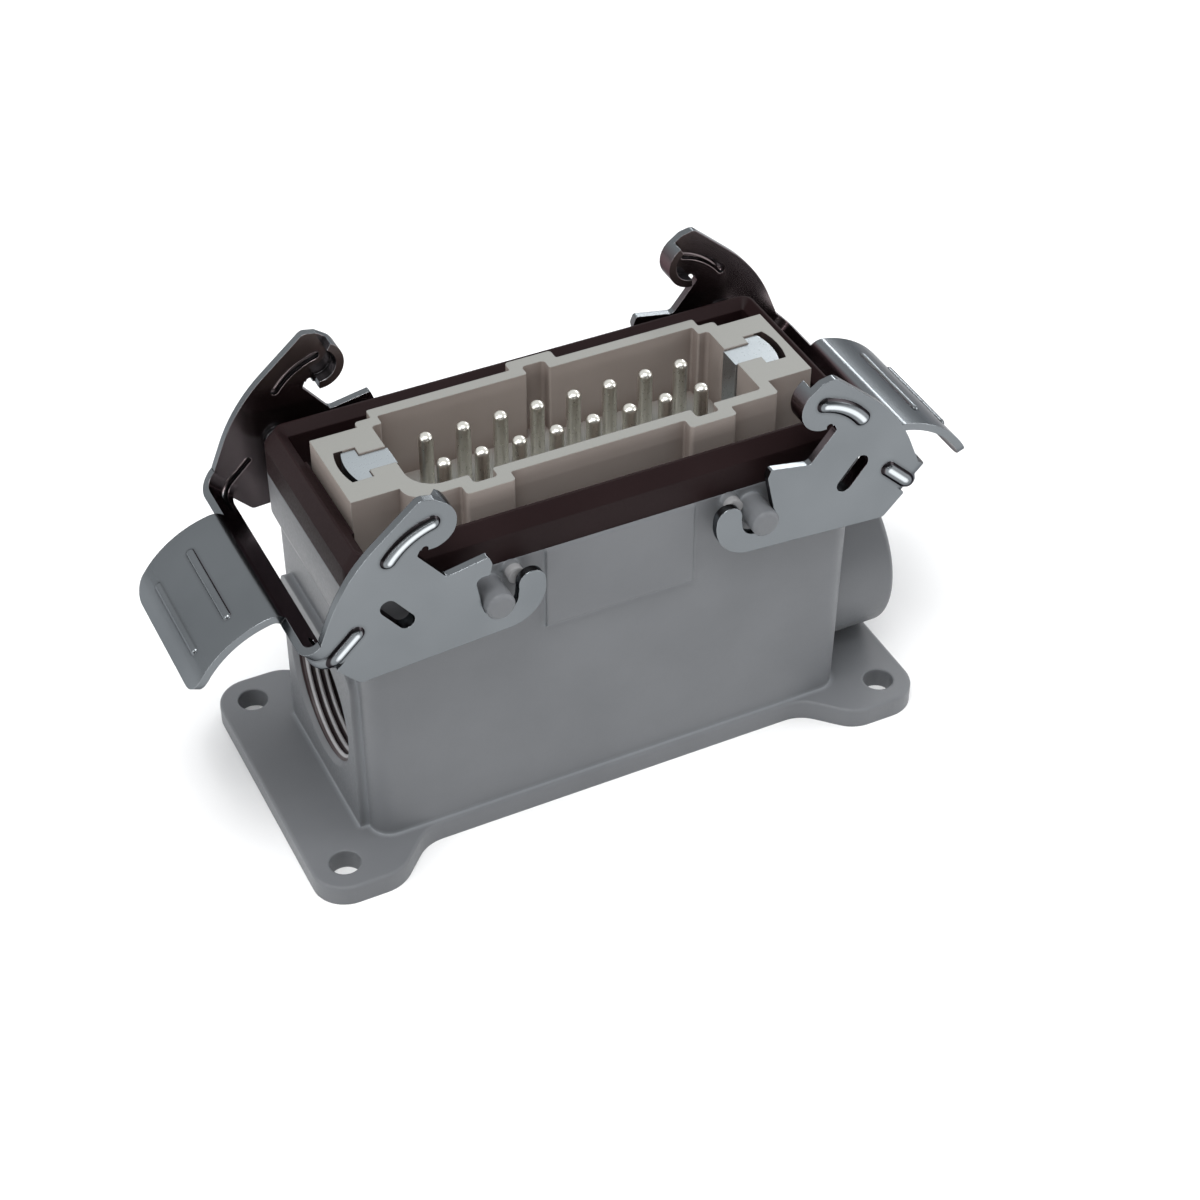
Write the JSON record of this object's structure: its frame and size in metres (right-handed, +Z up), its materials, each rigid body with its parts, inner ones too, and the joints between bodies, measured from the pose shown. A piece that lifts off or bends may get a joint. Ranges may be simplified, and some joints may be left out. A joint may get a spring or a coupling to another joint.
{
  "type": "heavy duty rectangular connector",
  "caption": "Surface-mounted rectangular connector base with a pin contact insert, rim seal, side cable entries and a sheet-metal locking lever on each end.",
  "frame": {"origin": "middle of the mounting flange's underside", "axes": "+X along the connector's length towards the right lever, +Z up towards the mating side"},
  "size_m": [0.1452, 0.057, 0.0785],
  "materials": {
    "housing_paint": "satin grey paint on a die casting",
    "lever_zinc": "zinc plated sheet steel",
    "seal_rubber": "matt moulded rubber",
    "insert_plastic": "matt moulded plastic, light warm grey",
    "contact_silver": "silver plated turned metal",
    "screw_steel": "zinc plated steel"
  },
  "bodies": {
    "base": {"housing": "housing_paint", "rim_seal": "seal_rubber", "contact_insert": "insert_plastic", "terminal_screws": "screw_steel", "earth_screws": "screw_steel", "fixing_screws": "screw_steel", "lock_washers": "screw_steel", "earth_contact_left": "contact_silver", "earth_contact_right": "contact_silver", "pin_contact_01": "contact_silver", "pin_contact_02": "contact_silver", "pin_contact_03": "contact_silver", "pin_contact_04": "contact_silver", "pin_contact_05": "contact_silver", "pin_contact_06": "contact_silver", "pin_contact_07": "contact_silver", "pin_contact_08": "contact_silver", "pin_contact_09": "contact_silver", "pin_contact_10": "contact_silver", "pin_contact_11": "contact_silver", "pin_contact_12": "contact_silver", "pin_contact_13": "contact_silver", "pin_contact_14": "contact_silver", "pin_contact_15": "contact_silver", "pin_contact_16": "contact_silver"},
    "left_lever": {"lever_left": "lever_zinc"},
    "right_lever": {"lever_right": "lever_zinc"}
  },
  "joints": [
    {"name": "left_lever_hinge", "type": "hinge", "parent": "base", "child": "left_lever", "pos_m": [-0.0241, 0, 0.0538], "axis": [0, 1, 0], "range_deg": [0, 38]},
    {"name": "right_lever_hinge", "type": "hinge", "parent": "base", "child": "right_lever", "pos_m": [0.0241, 0, 0.0538], "axis": [0, -1, 0], "range_deg": [0, 38]}
  ]
}
